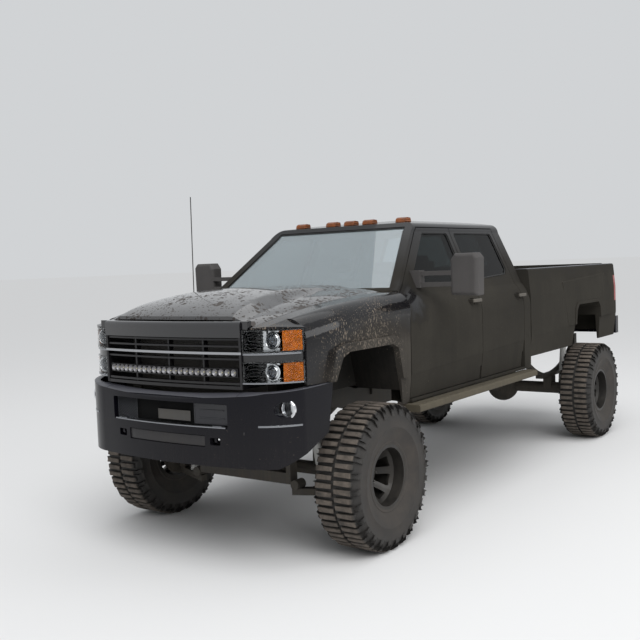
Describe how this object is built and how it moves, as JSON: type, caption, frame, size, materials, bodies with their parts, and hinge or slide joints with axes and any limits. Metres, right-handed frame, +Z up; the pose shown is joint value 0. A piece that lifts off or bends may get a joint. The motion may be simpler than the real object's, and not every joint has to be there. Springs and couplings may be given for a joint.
{
  "type": "lifted four-door off-road pickup truck",
  "caption": "Lifted four-door pickup with a long cargo bed, big mud tyres, tow mirrors, opening doors, hood and tailgate, steered front wheels.",
  "frame": {"origin": "on the ground, under the middle of the vehicle's overall box", "axes": "+X forward, +Y to the vehicle's left, +Z up"},
  "size_m": [6.57, 2.8498, 2.5736],
  "materials": {
    "body_paint": "gloss under dried mud",
    "chassis_steel": "satin, dusty",
    "cast_metal": "matt",
    "black_plastic": "matt",
    "bumper_steel": "gloss under dried mud",
    "lamp_lens": "clear",
    "red_lens": "clear",
    "amber_lens": "clear",
    "glass": "clear",
    "seat_fabric": "woven",
    "shock_paint": "gloss",
    "tyre_rubber": "matt, muddy",
    "rim_alloy": "satin black"
  },
  "bodies": {
    "chassis": {"frame_rails": "chassis_steel", "frame_crossmembers": "chassis_steel", "engine_block": "cast_metal", "gearbox": "cast_metal", "front_bumper": "bumper_steel", "grille": "black_plastic", "light_bar": "lamp_lens", "headlamps": "lamp_lens", "turn_lamps": "amber_lens", "lamp_lenses": "lamp_lens", "radiator": "black_plastic", "front_fenders": "body_paint", "wheel_liners": "black_plastic", "cab_shell": "body_paint", "cab_glass": "glass", "dashboard": "black_plastic", "steering_wheel": "black_plastic", "seats": "seat_fabric", "cargo_bed": "body_paint", "rear_bumper": "bumper_steel", "tail_lamps": "red_lens", "front_suspension": "chassis_steel", "control_arms": "chassis_steel", "shock_absorbers": "shock_paint", "rear_axle": "chassis_steel", "leaf_springs": "chassis_steel", "drive_shafts": "chassis_steel", "exhaust": "chassis_steel", "fuel_tank": "black_plastic", "running_boards": "black_plastic", "antenna": "black_plastic", "marker_lamps": "amber_lens"},
    "hood": {"hood": "body_paint"},
    "tailgate": {"tailgate": "body_paint"},
    "front_door_left": {"door_front_left": "body_paint", "glass_front_left": "glass", "mirror_left": "black_plastic"},
    "rear_door_left": {"door_rear_left": "body_paint", "glass_rear_left": "glass"},
    "knuckle_left": {"knuckle_left": "cast_metal"},
    "wheel_front_left": {"tyre_front_left": "tyre_rubber", "rim_front_left": "rim_alloy"},
    "wheel_rear_left": {"tyre_rear_left": "tyre_rubber", "rim_rear_left": "rim_alloy"},
    "front_door_right": {"door_front_right": "body_paint", "glass_front_right": "glass", "mirror_right": "black_plastic"},
    "rear_door_right": {"door_rear_right": "body_paint", "glass_rear_right": "glass"},
    "knuckle_right": {"knuckle_right": "cast_metal"},
    "wheel_front_right": {"tyre_front_right": "tyre_rubber", "rim_front_right": "rim_alloy"},
    "wheel_rear_right": {"tyre_rear_right": "tyre_rubber", "rim_rear_right": "rim_alloy"}
  },
  "joints": [
    {"name": "front_door_left_hinge", "type": "hinge", "parent": "chassis", "child": "front_door_left", "pos_m": [1.722, 1.017, 1.3], "axis": [0, 0, -1], "range_deg": [0, 68]},
    {"name": "rear_door_left_hinge", "type": "hinge", "parent": "chassis", "child": "rear_door_left", "pos_m": [0.506, 1.017, 1.3], "axis": [0, 0, -1], "range_deg": [0, 70]},
    {"name": "steer_left", "type": "hinge", "parent": "chassis", "child": "knuckle_left", "pos_m": [2.295, 0.79, 0.508], "axis": [0, 0, 1], "range_deg": [-25, 25]},
    {"name": "spin_front_left", "type": "hinge", "parent": "knuckle_left", "child": "wheel_front_left", "pos_m": [2.295, 1.011, 0.508], "axis": [0, 1, 0], "continuous": true},
    {"name": "spin_rear_left", "type": "hinge", "parent": "chassis", "child": "wheel_rear_left", "pos_m": [-2.125, 1.011, 0.508], "axis": [0, 1, 0], "continuous": true},
    {"name": "front_door_right_hinge", "type": "hinge", "parent": "chassis", "child": "front_door_right", "pos_m": [1.722, -1.017, 1.3], "axis": [0, 0, 1], "range_deg": [0, 68]},
    {"name": "rear_door_right_hinge", "type": "hinge", "parent": "chassis", "child": "rear_door_right", "pos_m": [0.506, -1.017, 1.3], "axis": [0, 0, 1], "range_deg": [0, 70]},
    {"name": "steer_right", "type": "hinge", "parent": "chassis", "child": "knuckle_right", "pos_m": [2.295, -0.79, 0.508], "axis": [0, 0, 1], "range_deg": [-25, 25]},
    {"name": "spin_front_right", "type": "hinge", "parent": "knuckle_right", "child": "wheel_front_right", "pos_m": [2.295, -1.011, 0.508], "axis": [0, 1, 0], "continuous": true},
    {"name": "spin_rear_right", "type": "hinge", "parent": "chassis", "child": "wheel_rear_right", "pos_m": [-2.125, -1.011, 0.508], "axis": [0, 1, 0], "continuous": true},
    {"name": "hood_hinge", "type": "hinge", "parent": "chassis", "child": "hood", "pos_m": [1.797, 0, 1.824], "axis": [0, -1, 0], "range_deg": [0, 55]},
    {"name": "tailgate_hinge", "type": "hinge", "parent": "chassis", "child": "tailgate", "pos_m": [-3.082, 0, 1.344], "axis": [0, -1, 0], "range_deg": [0, 90]}
  ],
  "couplings": [
    {"joint": "steer_right", "follows": "steer_left", "ratio": 1}
  ]
}
